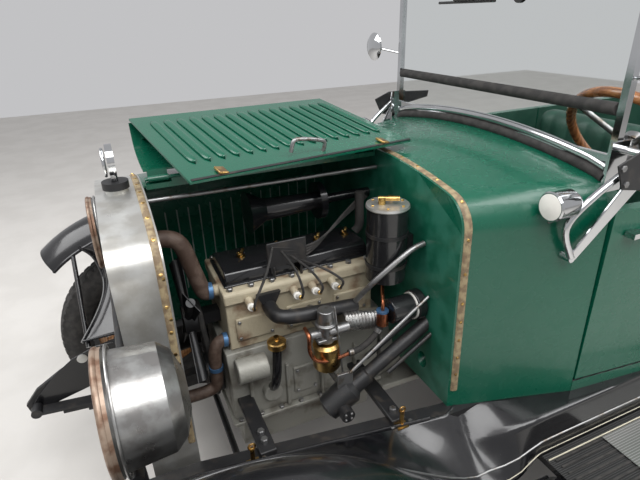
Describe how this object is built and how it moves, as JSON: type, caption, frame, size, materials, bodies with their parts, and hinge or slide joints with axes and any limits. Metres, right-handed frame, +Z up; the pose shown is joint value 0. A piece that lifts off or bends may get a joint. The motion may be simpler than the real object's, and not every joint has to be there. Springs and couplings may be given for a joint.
{
  "type": "open touring car",
  "caption": "Green open touring car of the 1920s with its left bonnet panels folded back to show the engine.",
  "frame": {"origin": "middle of the car's length and width, on the ground", "axes": "+X forward, +Y to the car's left, +Z up"},
  "size_m": [3.872, 1.624, 1.61],
  "materials": {
    "frame_black": "gloss",
    "fender_black": "gloss",
    "body_green": "gloss",
    "bonnet_green": "gloss",
    "engine_black": "gloss",
    "engine_iron": "satin",
    "case_metal": "satin",
    "shell_metal": "satin",
    "core_metal": "matte",
    "cap_black": "satin",
    "lamp_metal": "satin",
    "bright_chrome": "polished",
    "brass_parts": "satin",
    "pipe_rubber": "matte",
    "wheel_wood": "gloss",
    "rim_wood": "gloss",
    "tyre_rubber": "matte",
    "axle_steel": "satin",
    "trim_leather": "satin",
    "hood_cloth": "matte",
    "clear_glass": "clear"
  },
  "bodies": {
    "car": {"chassis_frame": "frame_black", "front_axle": "axle_steel", "rear_axle": "axle_steel", "spare_wheel": "tyre_rubber", "crankcase": "case_metal", "engine_block": "engine_iron", "rocker_covers": "engine_black", "fan": "engine_black", "engine_pipes": "pipe_rubber", "carburettor": "brass_parts", "vacuum_tank": "engine_black", "horn": "engine_black", "radiator_shell": "shell_metal", "radiator_core": "core_metal", "radiator_cap": "cap_black", "headlamps": "lamp_metal", "glass_panes": "clear_glass", "fenders": "fender_black", "running_boards": "fender_black", "bonnet_right": "bonnet_green", "cowl": "body_green", "body_tub": "body_green", "windscreen_frame": "bright_chrome", "steering_column": "frame_black", "seats": "trim_leather", "folded_hood": "hood_cloth"},
    "knuckle_l": {"knuckle_left": "axle_steel"},
    "knuckle_r": {"knuckle_right": "axle_steel"},
    "track_rod": {"tie_rod": "axle_steel"},
    "wheel_fl": {"wheel_front_left": "wheel_wood", "tyre_front_left": "tyre_rubber"},
    "wheel_fr": {"wheel_front_right": "wheel_wood", "tyre_front_right": "tyre_rubber"},
    "wheel_rl": {"wheel_rear_left": "wheel_wood", "tyre_rear_left": "tyre_rubber"},
    "wheel_rr": {"wheel_rear_right": "wheel_wood", "tyre_rear_right": "tyre_rubber"},
    "bonnet_top": {"bonnet_top_left": "bonnet_green"},
    "bonnet_side": {"bonnet_side_left": "bonnet_green"},
    "helm": {"steering_wheel": "rim_wood"},
    "door_front_l": {"door_front_left": "body_green"},
    "door_front_r": {"door_front_right": "body_green"},
    "door_rear_l": {"door_rear_left": "body_green"},
    "door_rear_r": {"door_rear_right": "body_green"}
  },
  "joints": [
    {"name": "steer_left", "type": "hinge", "parent": "car", "child": "knuckle_l", "pos_m": [1.476, 0.596, 0.36], "axis": [0, 0, 1], "range_deg": [-28, 28]},
    {"name": "steer_right", "type": "hinge", "parent": "car", "child": "knuckle_r", "pos_m": [1.476, -0.596, 0.36], "axis": [0, 0, 1], "range_deg": [-28, 28]},
    {"name": "steer_link", "type": "hinge", "parent": "knuckle_l", "child": "track_rod", "pos_m": [1.326, 0.596, 0.266], "axis": [0, 0, 1], "range_deg": [-28, 28]},
    {"name": "steering_turn", "type": "hinge", "parent": "car", "child": "helm", "pos_m": [0.084, 0.29, 1.17], "axis": [-0.7877, 0, 0.616], "range_deg": [-224, 224]},
    {"name": "spin_front_left", "type": "hinge", "parent": "knuckle_l", "child": "wheel_fl", "pos_m": [1.476, 0.7, 0.36], "axis": [0, 1, 0], "continuous": true},
    {"name": "spin_front_right", "type": "hinge", "parent": "knuckle_r", "child": "wheel_fr", "pos_m": [1.476, -0.7, 0.36], "axis": [0, 1, 0], "continuous": true},
    {"name": "spin_rear_left", "type": "hinge", "parent": "car", "child": "wheel_rl", "pos_m": [-1.224, 0.7, 0.36], "axis": [0, 1, 0], "continuous": true},
    {"name": "spin_rear_right", "type": "hinge", "parent": "car", "child": "wheel_rr", "pos_m": [-1.224, -0.7, 0.36], "axis": [0, 1, 0], "continuous": true},
    {"name": "bonnet_top_fold", "type": "hinge", "parent": "car", "child": "bonnet_top", "pos_m": [1.1215, 0, 1.1895], "axis": [-1, 0, 0], "range_deg": [0, 188]},
    {"name": "bonnet_side_fold", "type": "hinge", "parent": "bonnet_top", "child": "bonnet_side", "pos_m": [1.1215, -0.34828, 1.27133], "axis": [0.9843, 0.1749, 0.0246], "range_deg": [0, 107]},
    {"name": "door_front_left_swing", "type": "hinge", "parent": "car", "child": "door_front_l", "pos_m": [-0.155, 0.59852, 0.84], "axis": [0, 0, 1], "range_deg": [0, 65]},
    {"name": "door_front_right_swing", "type": "hinge", "parent": "car", "child": "door_front_r", "pos_m": [-0.155, -0.59852, 0.84], "axis": [0, 0, -1], "range_deg": [0, 65]},
    {"name": "door_rear_left_swing", "type": "hinge", "parent": "car", "child": "door_rear_l", "pos_m": [-0.443, 0.60599, 0.84], "axis": [0, 0, -1], "range_deg": [0, 65]},
    {"name": "door_rear_right_swing", "type": "hinge", "parent": "car", "child": "door_rear_r", "pos_m": [-0.443, -0.60599, 0.84], "axis": [0, 0, 1], "range_deg": [0, 65]}
  ],
  "couplings": [
    {"joint": "steer_right", "follows": "steer_left", "ratio": 1},
    {"joint": "steer_link", "follows": "steer_left", "ratio": -1},
    {"joint": "steering_turn", "follows": "steer_left", "ratio": 8},
    {"joint": "bonnet_side_fold", "follows": "bonnet_top_fold", "ratio": 0.56915}
  ]
}
